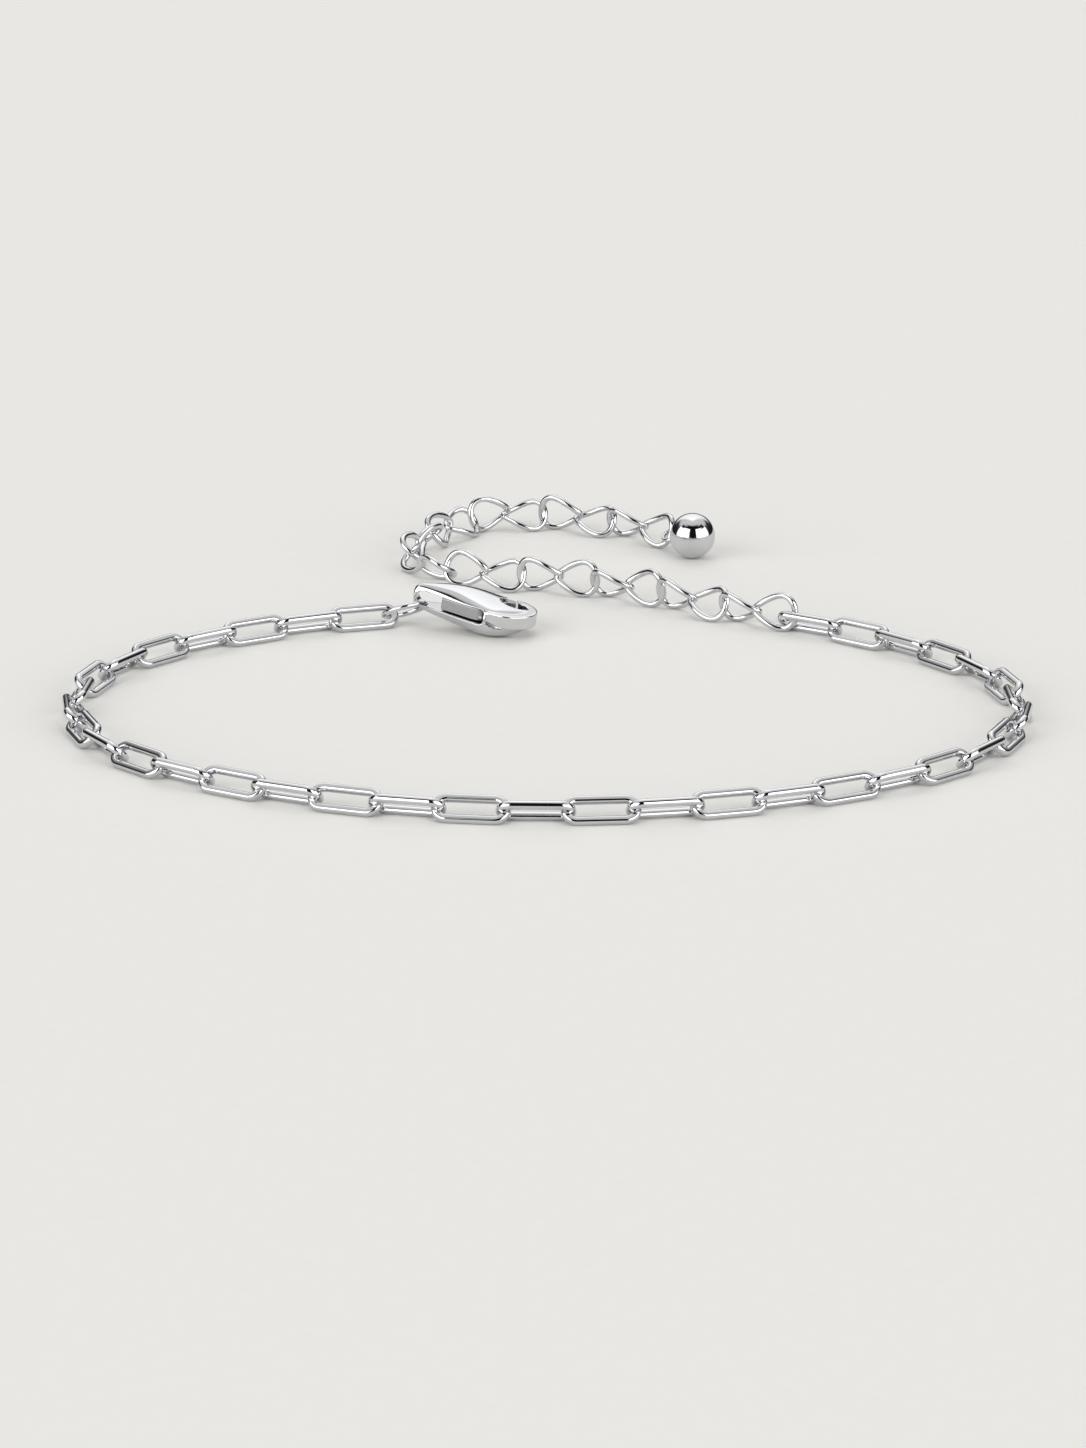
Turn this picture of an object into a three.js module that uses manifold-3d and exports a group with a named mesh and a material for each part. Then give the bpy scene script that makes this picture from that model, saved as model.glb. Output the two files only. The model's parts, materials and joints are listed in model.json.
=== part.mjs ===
// Paperclip chain bracelet, lying open in a loop on a table. A lobster clasp is at one end of the
// chain, and an extender of small oval links with a ball is at the other. Millimetres, +Z up.
import * as THREE from 'three';
import { mergeVertices } from 'three/addons/utils/BufferGeometryUtils.js';
import Module from 'manifold-3d';

const wasm = await Module();
wasm.setup();

// Paperclip links: flat wire bent to a stadium
const LINK_PITCH = 4.06;
const LINK_WIDTH = 2.02;
const LINK_LEAN = 45;
const FLAT_WIRE = { thickness: 0.39, depth: 0.52, chamfer: 0.14 };
const LINK_PLAY = 0.2;
const LINK_LENGTH = LINK_PITCH + 2 * FLAT_WIRE.thickness + LINK_PLAY;
const BEND_CHORDS = 5;

// Where the chain lies on the table, from the clasp on: each link turns left of the one before it
const CHAIN_START = { x: -10.5, y: 26.9, heading: -166 };
const CHAIN_ROUTE = [
  { links: 4, turn: 7.2 },
  { links: 8, turn: 11.9 },
  { links: 13, turn: 6.2 },
  { links: 7, turn: 12 },
  { links: 4, turn: 6.8 },
];

// Extender links: round wire bent to an oval with one narrow end, and twisted between its ends
const OVAL_PITCH = 2.75;
const OVAL_WIRE = 0.42;
const OVAL_SINK = 0.08;
const OVAL_LENGTH = OVAL_PITCH + 2 * OVAL_WIRE - OVAL_SINK;
const OVAL_WIDTH = 2.6;
const OVAL_TAPER = 0.3;
const OVAL_TWIST = 45;

// Where the extender lies, from the chain's end on: how far each link turns left, and how it rolls
const EXTENDER_HEADING = 161;
const EXTENDER_SET_BACK = 0.68;
const EXTENDER_LINKS = [
  { turn: -13, roll: 108 },
  { turn: -7, roll: 50 },
  { turn: 0, roll: 135 },
  { turn: 1.5, roll: 55 },
  { turn: 3.5, roll: 105 },
  { turn: 7.5, roll: 46 },
  { turn: 8.5, roll: 112 },
  { turn: 4.5, roll: 68 },
  { turn: -2.5, roll: 140 },
  { turn: -13, roll: 98 },
  { turn: -30, roll: 50 },
  { turn: -31, roll: 120 },
  { turn: -19, roll: 60 },
  { turn: -4, roll: 120 },
  { turn: -4, roll: 70 },
  { turn: -20, roll: 35 },
  { turn: -30, roll: 98 },
  { turn: -26, roll: 38 },
  { turn: -14, roll: 105 },
  { turn: -2, roll: 38 },
  { turn: -6, roll: 130 },
  { turn: -24, roll: 50 },
];

// Rings and the ball at the end of the extender
const RING_SIDES = 12;
const ROUND_WIRE_SIDES = 6;
const RING_PLAY = 0.2;
const CLASP_RING = { diameter: 3, wire: 0.4, play: 0.42, heading: -5, roll: -22, seat: 0.9 };
const END_RING = { diameter: 1.5, wire: 0.3, roll: 30 };
const BALL_DIAMETER = 3.3;
const BALL_SIDES = 16;
const BALL_TILT = 10;
const BALL_EYE = { diameter: 1, wire: 0.34, sink: 0.12 };

// Lobster clasp: length along X from the tail, width along Y, thickness along Z
const CLASP_HEADING = -14;
const CLASP_DIP = 5;
const CLASP_SIDES = 16;
const CLASP_FORM = [
  { at: 0, halfWidth: 0.3, halfThickness: 0.5, squareness: 2.2 },
  { at: 0.25, halfWidth: 0.42, halfThickness: 0.86, squareness: 2.2 },
  { at: 0.9, halfWidth: 0.6, halfThickness: 1.06, squareness: 2.2 },
  { at: 2.1, halfWidth: 1.1, halfThickness: 1.3, squareness: 2.2 },
  { at: 3.4, halfWidth: 1.58, halfThickness: 1.43, squareness: 2.2 },
  { at: 4.6, halfWidth: 1.92, halfThickness: 1.4, squareness: 2.2 },
  { at: 5.6, halfWidth: 2.14, halfThickness: 1.2, squareness: 2.4 },
  { at: 6.5, halfWidth: 2.2, halfThickness: 0.95, squareness: 3 },
  { at: 7.4, halfWidth: 2.08, halfThickness: 0.74, squareness: 4 },
  { at: 8.4, halfWidth: 1.66, halfThickness: 0.6, squareness: 4 },
  { at: 9.05, halfWidth: 0.98, halfThickness: 0.54, squareness: 4 },
  { at: 9.3, halfWidth: 0.45, halfThickness: 0.5, squareness: 4 },
];
const SLOT = { start: 0.38, end: 5.4, height: 1.24, corner: 0.3 };
const HOOK_OPENING = { start: 6.25, bend: 7.3, end: 8.45, near: -1.15, far: 1.4 };
const MOUTH = { start: 6.25, end: 7.4, inner: 1 };
const LEVER_WAY = { start: 5.1, end: 6.45, near: -0.95 };
const PIVOT = { at: 3.2, pin: 0.72, bore: 0.92, seat: 0.2 };
const LEVER_THICKNESS = 1.1;
const LEVER_OUTLINE = [
  { at: 2.1, side: -0.85 },
  { at: 4.5, side: -1.6 },
  { at: 5.15, side: -1.1 },
  { at: 5.15, side: -0.1 },
  { at: 5.5, side: 0.55 },
  { at: 7.7, side: 0.7 },
  { at: 7.7, side: 1.2 },
  { at: 5.1, side: 1.45 },
  { at: 4.4, side: 1.75 },
  { at: 4.15, side: 2.7 },
  { at: 3.4, side: 2.6 },
  { at: 3.1, side: 1.4 },
  { at: 2.1, side: 0.8 },
];
const SLOT_CORNER_CHORDS = 4;
const HOOK_CHORDS = 10;
const PAST_THE_BODY = 4;

const SILVER = { color: 0xd9dadb, roughness: 0.12, metalness: 1 };
const WELD = 1e-5;
const UP = new THREE.Vector3(0, 0, 1);
const ALONG = new THREE.Vector3(1, 0, 0);
const radians = THREE.MathUtils.degToRad;

function silverMesh(name, geometry) {
  const mesh = new THREE.Mesh(geometry, new THREE.MeshStandardMaterial(SILVER));
  mesh.name = name;
  return mesh;
}

// Turns an object about its own length, then tips its front down, then points it along a heading.
function turn(object, { roll = 0, dip = 0, heading = 0 }) {
  object.rotation.set(radians(roll), radians(dip), radians(heading), 'ZYX');
  return object;
}

// Lowers or lifts an object until its lowest point is on the table.
function setDown(object) {
  object.position.z = 0;
  object.updateMatrixWorld(true);
  object.position.z = -new THREE.Box3().setFromObject(object, true).min.z;
  object.updateMatrixWorld(true);
  return object;
}

function direction(heading, climb = 0) {
  return ALONG.clone().applyEuler(new THREE.Euler(0, radians(-climb), radians(heading), 'ZYX'));
}

function solid(geometry) {
  const bare = geometry.clone();
  bare.deleteAttribute('normal');
  bare.deleteAttribute('uv');
  const merged = mergeVertices(bare, WELD);
  return new wasm.Manifold(new wasm.Mesh({
    numProp: 3,
    vertProperties: Float32Array.from(merged.attributes.position.array),
    triVerts: Uint32Array.from(merged.index.array),
  }));
}

function geometryOf(manifold) {
  const { vertProperties, triVerts } = manifold.getMesh();
  const geometry = new THREE.BufferGeometry();
  geometry.setAttribute('position', new THREE.BufferAttribute(Float32Array.from(vertProperties), 3));
  geometry.setIndex(new THREE.BufferAttribute(Uint32Array.from(triVerts), 1));
  return geometry;
}

// Sections are points across (outward from the middle of the link) and along its normal.
function flatSection({ thickness, depth, chamfer }) {
  const across = thickness / 2;
  const along = depth / 2;
  return [
    [-across, -along],
    [across - chamfer, -along],
    [across, chamfer - along],
    [across, along],
    [chamfer - across, along],
    [-across, along - chamfer],
  ];
}

function roundSection(wire) {
  return Array.from({ length: ROUND_WIRE_SIDES }, (_, corner) => {
    const angle = (2 * Math.PI * corner) / ROUND_WIRE_SIDES;
    return [(wire / 2) * Math.cos(angle), (wire / 2) * Math.sin(angle)];
  });
}

// A closed ring of wire: the section stands at each station and is joined to the next one.
function wireRing(stations, section) {
  const positions = [];
  const index = [];
  stations.forEach(({ point, out, normal }, station) => {
    const here = station * section.length;
    const next = ((station + 1) % stations.length) * section.length;
    section.forEach(([across, along], corner) => {
      const beside = (corner + 1) % section.length;
      const vertex = point.clone().addScaledVector(out, across).addScaledVector(normal, along);
      positions.push(...vertex.toArray());
      index.push(here + corner, next + corner, next + beside);
      index.push(here + corner, next + beside, here + beside);
    });
  });
  const geometry = new THREE.BufferGeometry();
  geometry.setAttribute('position', new THREE.Float32BufferAttribute(positions, 3));
  geometry.setIndex(index);
  return geometry;
}

// The middle line of a paperclip link: two half circles and two straight sides.
function stadiumStations(length, width) {
  const radius = width / 2;
  const stations = [];
  for (const end of [1, -1]) {
    for (let chord = 0; chord <= BEND_CHORDS; chord++) {
      const angle = Math.PI * (chord / BEND_CHORDS - end / 2);
      const out = new THREE.Vector3(Math.cos(angle), Math.sin(angle), 0);
      const middle = new THREE.Vector3(end * (length / 2 - radius), 0, 0);
      stations.push({ point: middle.addScaledVector(out, radius), out, normal: UP });
    }
  }
  return stations;
}

// The middle line of an oval: narrower at its front by the taper, and turned about its length by half the
// twist at either end.
function ovalStations(length, width, { taper = 0, twist = 0 } = {}) {
  return Array.from({ length: RING_SIDES }, (_, side) => {
    const angle = (2 * Math.PI * side) / RING_SIDES;
    const [cos, sin] = [Math.cos(angle), Math.sin(angle)];
    const point = new THREE.Vector3((length / 2) * cos, (width / 2) * sin * (1 - taper * cos), 0);
    const slope = width * (cos * (1 - taper * cos) + taper * sin * sin);
    const out = new THREE.Vector3(slope, length * sin, 0).normalize();
    const normal = UP.clone();
    const lean = radians(twist) * (point.x / length);
    [point, out, normal].forEach((vector) => vector.applyAxisAngle(ALONG, lean));
    return { point, out, normal };
  });
}

function roundRing({ diameter, wire }) {
  return wireRing(ovalStations(diameter, diameter), roundSection(wire));
}

// Steps of equal length along the table, one for each turn: each has its middle and its heading.
function walk(start, pitch, turns) {
  const joint = new THREE.Vector3(start.x, start.y, 0);
  let heading = start.heading;
  const steps = turns.map((bend) => {
    const ahead = direction(heading + bend / 2);
    const step = {
      middle: joint.clone().addScaledVector(ahead, pitch / 2),
      heading: heading + bend / 2,
    };
    joint.addScaledVector(ahead, pitch);
    heading += bend;
    return step;
  });
  return { steps, end: joint, heading };
}

function paperclipChain() {
  const wire = FLAT_WIRE.thickness;
  const geometry = wireRing(stadiumStations(LINK_LENGTH - wire, LINK_WIDTH - wire), flatSection(FLAT_WIRE));
  const turns = CHAIN_ROUTE.flatMap(({ links, turn: bend }) => Array(links).fill(bend));
  const route = walk(CHAIN_START, LINK_PITCH, turns);
  const links = route.steps.map(({ middle, heading }, step) => {
    const link = silverMesh(`link_${String(step + 1).padStart(2, '0')}`, geometry);
    turn(link, { roll: step % 2 ? LINK_LEAN : -LINK_LEAN, heading });
    link.position.copy(middle);
    return setDown(link);
  });
  return { ...route, links };
}

// All the oval links, set down on the table one by one and joined where they touch. The narrow ends of
// two links meet at one joint, and their wide ends at the next one.
function extenderChain(start, heading) {
  const route = walk({ ...start, heading }, OVAL_PITCH, EXTENDER_LINKS.map(({ turn: bend }) => bend));
  const links = route.steps.map(({ middle, heading: ahead }, step) => {
    const form = { taper: step % 2 ? -OVAL_TAPER : OVAL_TAPER, twist: OVAL_TWIST };
    const stations = ovalStations(OVAL_LENGTH - OVAL_WIRE, OVAL_WIDTH - OVAL_WIRE, form);
    const link = new THREE.Mesh(wireRing(stations, roundSection(OVAL_WIRE)));
    turn(link, { roll: EXTENDER_LINKS[step].roll, heading: ahead });
    link.position.copy(middle);
    return setDown(link);
  });
  const joined = links
    .map((link) => solid(link.geometry.clone().applyMatrix4(link.matrixWorld)))
    .reduce((chain, link) => chain.add(link));
  const last = links[links.length - 1].position.z;
  return { ...route, height: last, mesh: silverMesh('extender_chain', geometryOf(joined)) };
}

// The clasp's outer form: rounded sections along its length, closed at both ends.
function claspForm() {
  const positions = [];
  const index = [];
  for (const { at, halfWidth, halfThickness, squareness } of CLASP_FORM) {
    const squared = (value) => Math.sign(value) * Math.abs(value) ** (2 / squareness);
    for (let side = 0; side < CLASP_SIDES; side++) {
      const angle = (2 * Math.PI * (side + 0.5)) / CLASP_SIDES;
      positions.push(at, halfWidth * squared(Math.cos(angle)), halfThickness * squared(Math.sin(angle)));
    }
  }
  const last = (CLASP_FORM.length - 1) * CLASP_SIDES;
  for (let ring = 0; ring < last; ring += CLASP_SIDES) {
    for (let side = 0; side < CLASP_SIDES; side++) {
      const beside = (side + 1) % CLASP_SIDES;
      index.push(ring + side, ring + beside, ring + CLASP_SIDES + beside);
      index.push(ring + side, ring + CLASP_SIDES + beside, ring + CLASP_SIDES + side);
    }
  }
  for (let side = 1; side < CLASP_SIDES - 1; side++) {
    index.push(0, side + 1, side);
    index.push(last, last + side, last + side + 1);
  }
  const geometry = new THREE.BufferGeometry();
  geometry.setAttribute('position', new THREE.Float32BufferAttribute(positions, 3));
  geometry.setIndex(index);
  return geometry;
}

function block(from, to) {
  const size = to.map((value, axis) => value - from[axis]);
  const middle = to.map((value, axis) => (value + from[axis]) / 2);
  return new THREE.BoxGeometry(...size).translate(...middle);
}

function extrudeThrough(shape, depth, curveSegments = 1) {
  const geometry = new THREE.ExtrudeGeometry(shape, { depth, bevelEnabled: false, curveSegments });
  return geometry.translate(0, 0, -depth / 2);
}

// The slot between the cheeks: it is the eye at the tail, and the lever sits in the rest of it.
function slotCut() {
  const { start, end, height, corner } = SLOT;
  const half = height / 2;
  const shape = new THREE.Shape()
    .moveTo(start + half, -half)
    .lineTo(end - corner, -half)
    .absarc(end - corner, corner - half, corner, -Math.PI / 2, 0)
    .absarc(end - corner, half - corner, corner, 0, Math.PI / 2)
    .lineTo(start + half, half)
    .absarc(start + half, 0, half, Math.PI / 2, (3 * Math.PI) / 2);
  return extrudeThrough(shape, 2 * PAST_THE_BODY, SLOT_CORNER_CHORDS).rotateX(Math.PI / 2);
}

function hookCut() {
  const { start, bend, end, near, far } = HOOK_OPENING;
  const shape = new THREE.Shape()
    .moveTo(start, near)
    .lineTo(bend, near)
    .absellipse(bend, (near + far) / 2, end - bend, (far - near) / 2, -Math.PI / 2, Math.PI / 2)
    .lineTo(start, far);
  return extrudeThrough(shape, 2 * PAST_THE_BODY, HOOK_CHORDS);
}

function pivotRound(diameter, length) {
  const cylinder = new THREE.CylinderGeometry(diameter / 2, diameter / 2, length, RING_SIDES);
  return cylinder.rotateX(Math.PI / 2).translate(PIVOT.at, 0, 0);
}

// One solid of cheeks, eye, hook and the pin that the lever turns on.
function claspBody() {
  const half = SLOT.height / 2;
  const mouth = block([MOUTH.start, MOUTH.inner, -PAST_THE_BODY], [MOUTH.end, PAST_THE_BODY, PAST_THE_BODY]);
  const leverWay = block([LEVER_WAY.start, LEVER_WAY.near, -half], [LEVER_WAY.end, PAST_THE_BODY, half]);
  return solid(claspForm())
    .subtract(solid(slotCut()))
    .subtract(solid(leverWay))
    .subtract(solid(hookCut()))
    .subtract(solid(mouth))
    .add(solid(pivotRound(PIVOT.pin, SLOT.height + 2 * PIVOT.seat)));
}

// The lever: a root between the cheeks, a gate that closes the mouth from inside and a thumb tab.
function claspLever() {
  const shape = new THREE.Shape(LEVER_OUTLINE.map(({ at, side }) => new THREE.Vector2(at, side)));
  const lever = solid(extrudeThrough(shape, LEVER_THICKNESS));
  return lever.subtract(solid(pivotRound(PIVOT.bore, 2 * LEVER_THICKNESS)));
}

function clasp() {
  const group = new THREE.Group();
  group.add(silverMesh('clasp_body', geometryOf(claspBody())));
  group.add(silverMesh('clasp_lever', geometryOf(claspLever())));
  return setDown(turn(group, { dip: CLASP_DIP, heading: CLASP_HEADING }));
}

// The ring that hangs the clasp on the first link, and the clasp moved to the ring's far side.
function hangClasp(group, firstLink) {
  const back = direction(CHAIN_START.heading + CHAIN_ROUTE[0].turn / 2);
  const crown = (LINK_LENGTH - FLAT_WIRE.thickness - LINK_PITCH) / 2;
  const start = new THREE.Vector3(CHAIN_START.x, CHAIN_START.y, firstLink.position.z)
    .addScaledVector(back, (FLAT_WIRE.thickness + CLASP_RING.wire) / 2 + CLASP_RING.play - crown);
  const seat = group.localToWorld(new THREE.Vector3(CLASP_RING.seat, 0, 0));
  const climb = THREE.MathUtils.radToDeg(Math.asin((seat.z - start.z) / CLASP_RING.diameter));
  const ahead = direction(CLASP_RING.heading, climb);
  const ring = silverMesh('clasp_ring', roundRing(CLASP_RING));
  turn(ring, { roll: CLASP_RING.roll, dip: -climb, heading: CLASP_RING.heading });
  ring.position.copy(start).addScaledVector(ahead, CLASP_RING.diameter / 2);
  const far = start.clone().addScaledVector(ahead, CLASP_RING.diameter);
  group.position.add(new THREE.Vector3(far.x - seat.x, far.y - seat.y, 0));
  return ring;
}

// The ball with its soldered eye, and the ring that joins the eye to the last oval link.
function ballEnd(extender) {
  const radius = BALL_DIAMETER / 2;
  const eyeMiddle = radius + BALL_EYE.diameter / 2 - BALL_EYE.sink;
  const eye = roundRing(BALL_EYE).rotateX(Math.PI / 2).translate(-eyeMiddle, 0, 0);
  const sphere = new THREE.SphereGeometry(radius, BALL_SIDES, BALL_SIDES / 2 + 2).rotateX(Math.PI / 2);
  const ball = silverMesh('end_ball', geometryOf(solid(sphere).add(solid(eye))));
  const heading = extender.heading;
  setDown(turn(ball, { dip: -BALL_TILT, heading }));

  const ahead = direction(heading);
  const start = extender.end.clone().setZ(extender.height);
  const crown = (OVAL_WIRE - OVAL_SINK) / 2;
  start.addScaledVector(ahead, crown - (OVAL_WIRE + END_RING.wire) / 2 - RING_PLAY);
  const reach = END_RING.diameter - (END_RING.wire + BALL_EYE.wire) / 2 - RING_PLAY;
  const hold = ball.localToWorld(new THREE.Vector3(-eyeMiddle - BALL_EYE.diameter / 2, 0, 0));
  const climb = THREE.MathUtils.radToDeg(Math.asin((hold.z - start.z) / reach));
  const along = direction(heading, climb);
  const ring = silverMesh('end_ring', roundRing(END_RING));
  turn(ring, { roll: END_RING.roll, dip: -climb, heading });
  ring.position.copy(start).addScaledVector(along, END_RING.diameter / 2);
  const grip = start.clone().addScaledVector(along, reach);
  ball.position.add(new THREE.Vector3(grip.x - hold.x, grip.y - hold.y, 0));
  return [ring, ball];
}

const chain = paperclipChain();
const lobsterClasp = clasp();
const claspRing = hangClasp(lobsterClasp, chain.links[0]);
const chainEnd = chain.end.clone().addScaledVector(direction(chain.heading), -EXTENDER_SET_BACK);
const extender = extenderChain(chainEnd, EXTENDER_HEADING);
const bracelet = new THREE.Group();
bracelet.add(...chain.links, claspRing, lobsterClasp, extender.mesh, ...ballEnd(extender));

// The origin is on the table under the middle of the bracelet.
bracelet.updateMatrixWorld(true);
const extent = new THREE.Box3().setFromObject(bracelet, true);
const middle = extent.getCenter(new THREE.Vector3());
bracelet.position.set(-middle.x, -middle.y, -extent.min.z);

export default bracelet;
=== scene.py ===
"""Paperclip chain bracelet in polished silver, lying open in a loop on a pale table.

The pieces are modelled at a thousand times their size, a millimetre to a unit, where the smallest
steps of the modelling tools are fine enough. Each is then set down at its real size.
"""
import json
import math

import bmesh
import bpy
import numpy as np
from bpy.props import FloatProperty, FloatVectorProperty, IntProperty, PointerProperty
from mathutils import Matrix, Vector


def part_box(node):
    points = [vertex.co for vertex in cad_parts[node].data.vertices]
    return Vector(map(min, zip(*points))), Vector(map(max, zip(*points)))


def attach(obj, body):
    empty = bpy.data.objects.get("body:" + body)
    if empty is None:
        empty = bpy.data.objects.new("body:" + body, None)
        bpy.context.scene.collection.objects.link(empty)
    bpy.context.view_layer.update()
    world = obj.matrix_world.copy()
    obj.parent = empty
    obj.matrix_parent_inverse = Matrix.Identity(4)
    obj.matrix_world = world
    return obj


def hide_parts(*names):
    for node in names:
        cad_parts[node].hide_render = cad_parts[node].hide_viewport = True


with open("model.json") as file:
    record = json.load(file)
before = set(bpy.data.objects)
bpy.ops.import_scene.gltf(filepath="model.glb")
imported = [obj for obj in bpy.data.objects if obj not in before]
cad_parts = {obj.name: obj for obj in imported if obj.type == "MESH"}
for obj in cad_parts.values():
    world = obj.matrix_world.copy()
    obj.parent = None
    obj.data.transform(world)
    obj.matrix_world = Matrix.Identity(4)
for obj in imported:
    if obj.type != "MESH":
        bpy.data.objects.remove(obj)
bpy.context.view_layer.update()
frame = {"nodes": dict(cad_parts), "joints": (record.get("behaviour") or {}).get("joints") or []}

bl_info = {
    "name": "Paperclip chain bracelet",
    "version": (1, 0, 0),
    "blender": (4, 5, 0),
    "location": "View3D > Sidebar > Bracelet",
    "description": "Silver paperclip chain bracelet with a lobster clasp and an extender",
    "category": "Object",
}

MM = 0.001
LINK_COUNT = 36

# Wire: how near the points of its two ends merge, how much of a side its rounded corners take, and the
# cut through a jump ring, in radians
MERGE_WITHIN = 0.001
CORNER_SHARE = 0.98
RING_CUT = 0.03

# The extender on the table, from the chain's end on: how far each link turns left, and how it rolls
EXTENDER_LINKS = (
    (-13.0, 108.0),
    (-7.0, 50.0),
    (0.0, 135.0),
    (1.5, 55.0),
    (3.5, 105.0),
    (7.5, 46.0),
    (8.5, 112.0),
    (4.5, 68.0),
    (-2.5, 140.0),
    (-13.0, 98.0),
    (-30.0, 50.0),
    (-31.0, 120.0),
    (-19.0, 60.0),
    (-4.0, 120.0),
    (-4.0, 70.0),
    (-20.0, 35.0),
    (-30.0, 98.0),
    (-26.0, 38.0),
    (-14.0, 105.0),
    (-2.0, 38.0),
    (-6.0, 130.0),
    (-24.0, 50.0),
)
# Where the extender starts: its heading, and how far it reaches back from the chain's end
EXTENDER_HEADING = 161.0
EXTENDER_SET_BACK = 0.68
# The chain's step from link to link, and its turn at the last one, in degrees
CHAIN_PITCH = 4.06
CHAIN_LAST_TURN = 6.8
# The ball: how deep its eye is soldered in, and how far its front tips down
BALL_EYE_SINK = 0.12
BALL_DIP = -10.0

# The clasp's cheeks: length from the tail, half their width, half their thickness, how square they are,
# and how high their middle is
CHEEK_FORM = (
    (0.0, 0.26, 0.32, 2.2, 0.0),
    (0.1, 0.34, 0.66, 2.2, 0.0),
    (0.36, 0.44, 0.86, 2.2, 0.0),
    (0.95, 0.62, 1.0, 2.2, -0.01),
    (2.1, 1.1, 1.21, 2.2, -0.02),
    (3.4, 1.58, 1.38, 2.2, -0.04),
    (4.6, 1.96, 1.39, 2.3, -0.16),
    (5.4, 2.12, 1.34, 2.4, -0.27),
    (6.1, 2.17, 1.24, 2.6, -0.31),
    (6.8, 2.07, 1.16, 2.6, -0.29),
    (7.5, 1.76, 1.0, 2.5, -0.25),
    (8.0, 1.3, 0.8, 2.4, -0.2),
    (8.4, 0.75, 0.57, 2.2, -0.15),
)
# The clasp's flat nose, from between the cheeks on: length from the tail, half its width
NOSE_OUTLINE = (
    (4.43, 1.45),
    (5.0, 1.66),
    (5.6, 1.86),
    (6.1, 1.99),
    (6.6, 2.09),
    (7.1, 2.11),
    (7.65, 1.95),
    (8.2, 1.56),
    (8.62, 1.04),
    (8.84, 0.52),
    (8.9, 0.0),
)
# The wedge where the cheeks part for the nose: length from the tail, half the height of the gap
NOSE_GAP = ((5.92, 0.26), (7.1, 0.47), (12.0, 0.47))
# The dark groove under the nose, on either side: length from the tail, height. Then how far its floor is
# from the middle, and how thick its cutter is
NOSE_GROOVE = ((5.86, -0.2), (6.6, -0.36), (7.4, -0.47), (7.4, -0.56), (6.6, -0.56), (5.86, -0.32))
GROOVE_FLOOR = 1.84
GROOVE_DEPTH = 2.0
# How the clasp lies: its height over the hinge's place in the frame, its heading, its nose's dip, and the
# pin's length from the tail
CLASP_LIFT = 0.43
CLASP_HEADING = -17.0
CLASP_DIP = 8.0
CLASP_PIVOT_AT = 3.2
# The slot between the cheeks, by length from the tail, with the rounding of its corners
SLOT = {"start": 0.28, "end": 5.72, "height": 1.0, "corner": 0.3}
# The slot's round end: how far it is stretched to the tail, and how much lower than the slot it is
EYE_STRETCH = 0.25
EYE_PLAY = 0.01
# The hook's opening, the mouth that its gate closes, and the lever's way between the cheeks
HOOK_OPENING = {"start": 6.15, "end": 8.05, "near": -0.5, "far": 1.38}
MOUTH = {"start": 6.33, "inner": 1.0, "reach": 4.19}
LEVER_WAY = {"start": 5.35, "end": 6.5, "near": -0.45}
# How far the cutters reach out of the body
PAST_THE_BODY = 4.0
# Rounded edges of the nose, of the lever and of what cuts the casting
NOSE_RIM = 0.08
LEVER_RIM = 0.09
CUTTER_RIM = 0.01
# Steps between two points of the nose's outline, the pin's length inside the cheeks, rounds of smoothing
# of the casting, and the angle from which the lever's edges stay sharp, in degrees
NOSE_STEPS = 3
PIN_IN_CHEEKS = 0.4
POLISH_ROUNDS = 14
LEVER_CREASE = 40.0

# The lever's outline: length from the clasp's tail, side
LEVER_OUTLINE = (
    (2.3, -0.86),
    (4.7, -1.54),
    (5.2, -1.57),
    (5.48, -1.4),
    (5.57, -1.05),
    (5.5, -0.1),
    (5.6, 0.5),
    (6.3, 1.2),
    (7.0, 1.36),
    (6.92, 1.7),
    (6.8, 2.0),
    (6.3, 2.06),
    (5.7, 2.03),
    (5.1, 1.8),
    (4.4, 1.75),
    (4.15, 2.7),
    (3.4, 2.6),
    (3.1, 1.4),
    (2.3, 0.8),
)

# Light round the table: each strip fades in between two angles from the camera's direction, and has
# its brightness at heights above the table, in degrees
STUDIO_LIGHT = (
    (-180, -180, ((0, 0.02), (8, 0.03), (14, 0.15), (21, 1.2), (76, 1.6), (90, 0.9))),
    (-150, -134, ((0, 0.02), (14, 0.02), (27, 0.04), (34, 0.12), (41, 0.75), (90, 0.9))),
    (-94, -82, ((0, 0.4), (5, 2.8), (39, 2.8), (41, 0.02), (51, 0.02), (57, 0.75), (90, 0.9))),
    (-70, -40, ((0, 0.4), (5, 2.8), (45, 2.8), (47, 0.006), (62, 0.006), (67, 0.75), (90, 0.9))),
    (-23, -17, ((0, 0.01), (40, 0.008), (62, 0.006), (68, 0.7), (90, 0.9))),
    (17, 23, ((0, 0.4), (5, 2.8), (44, 2.8), (46, 0.006), (62, 0.006), (67, 0.75), (90, 0.9))),
    (40, 70, ((0, 0.4), (5, 2.8), (36, 2.8), (38, 0.006), (53, 0.006), (58, 0.75), (90, 0.9))),
    (82, 94, ((0, 0.02), (14, 0.02), (27, 0.04), (34, 0.12), (41, 0.75), (90, 0.9))),
    (134, 150, ((0, 0.02), (8, 0.03), (14, 0.15), (21, 1.2), (76, 1.6), (90, 0.9))),
)

# Wear of the silver: clouds and hairs per metre, from where to where in the noise the clouds show, and
# what the clouds and the hairs change
CLOUDS_PER_METRE = 420.0
HAIRS_PER_METRE = 2600.0
HAIR_SQUEEZE = (1.0, 6.0, 6.0)
WORN_RANGE = (0.42, 0.72)
WORN_COLOUR = 0.5
WORN_ROUGHNESS = 0.03
HAIR_ROUGHNESS = 0.02
HAIR_STRENGTH = 0.02
HAIR_HEIGHT = 0.00001
# The table: its size, its mottle per metre, and the mottle's darkest and lightest shades
TABLE_RADIUS = 6.0
TABLE_SIDES = 96
MOTTLE_PER_METRE = 900.0
MOTTLE_SHADES = (0.985, 1.012)
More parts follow.
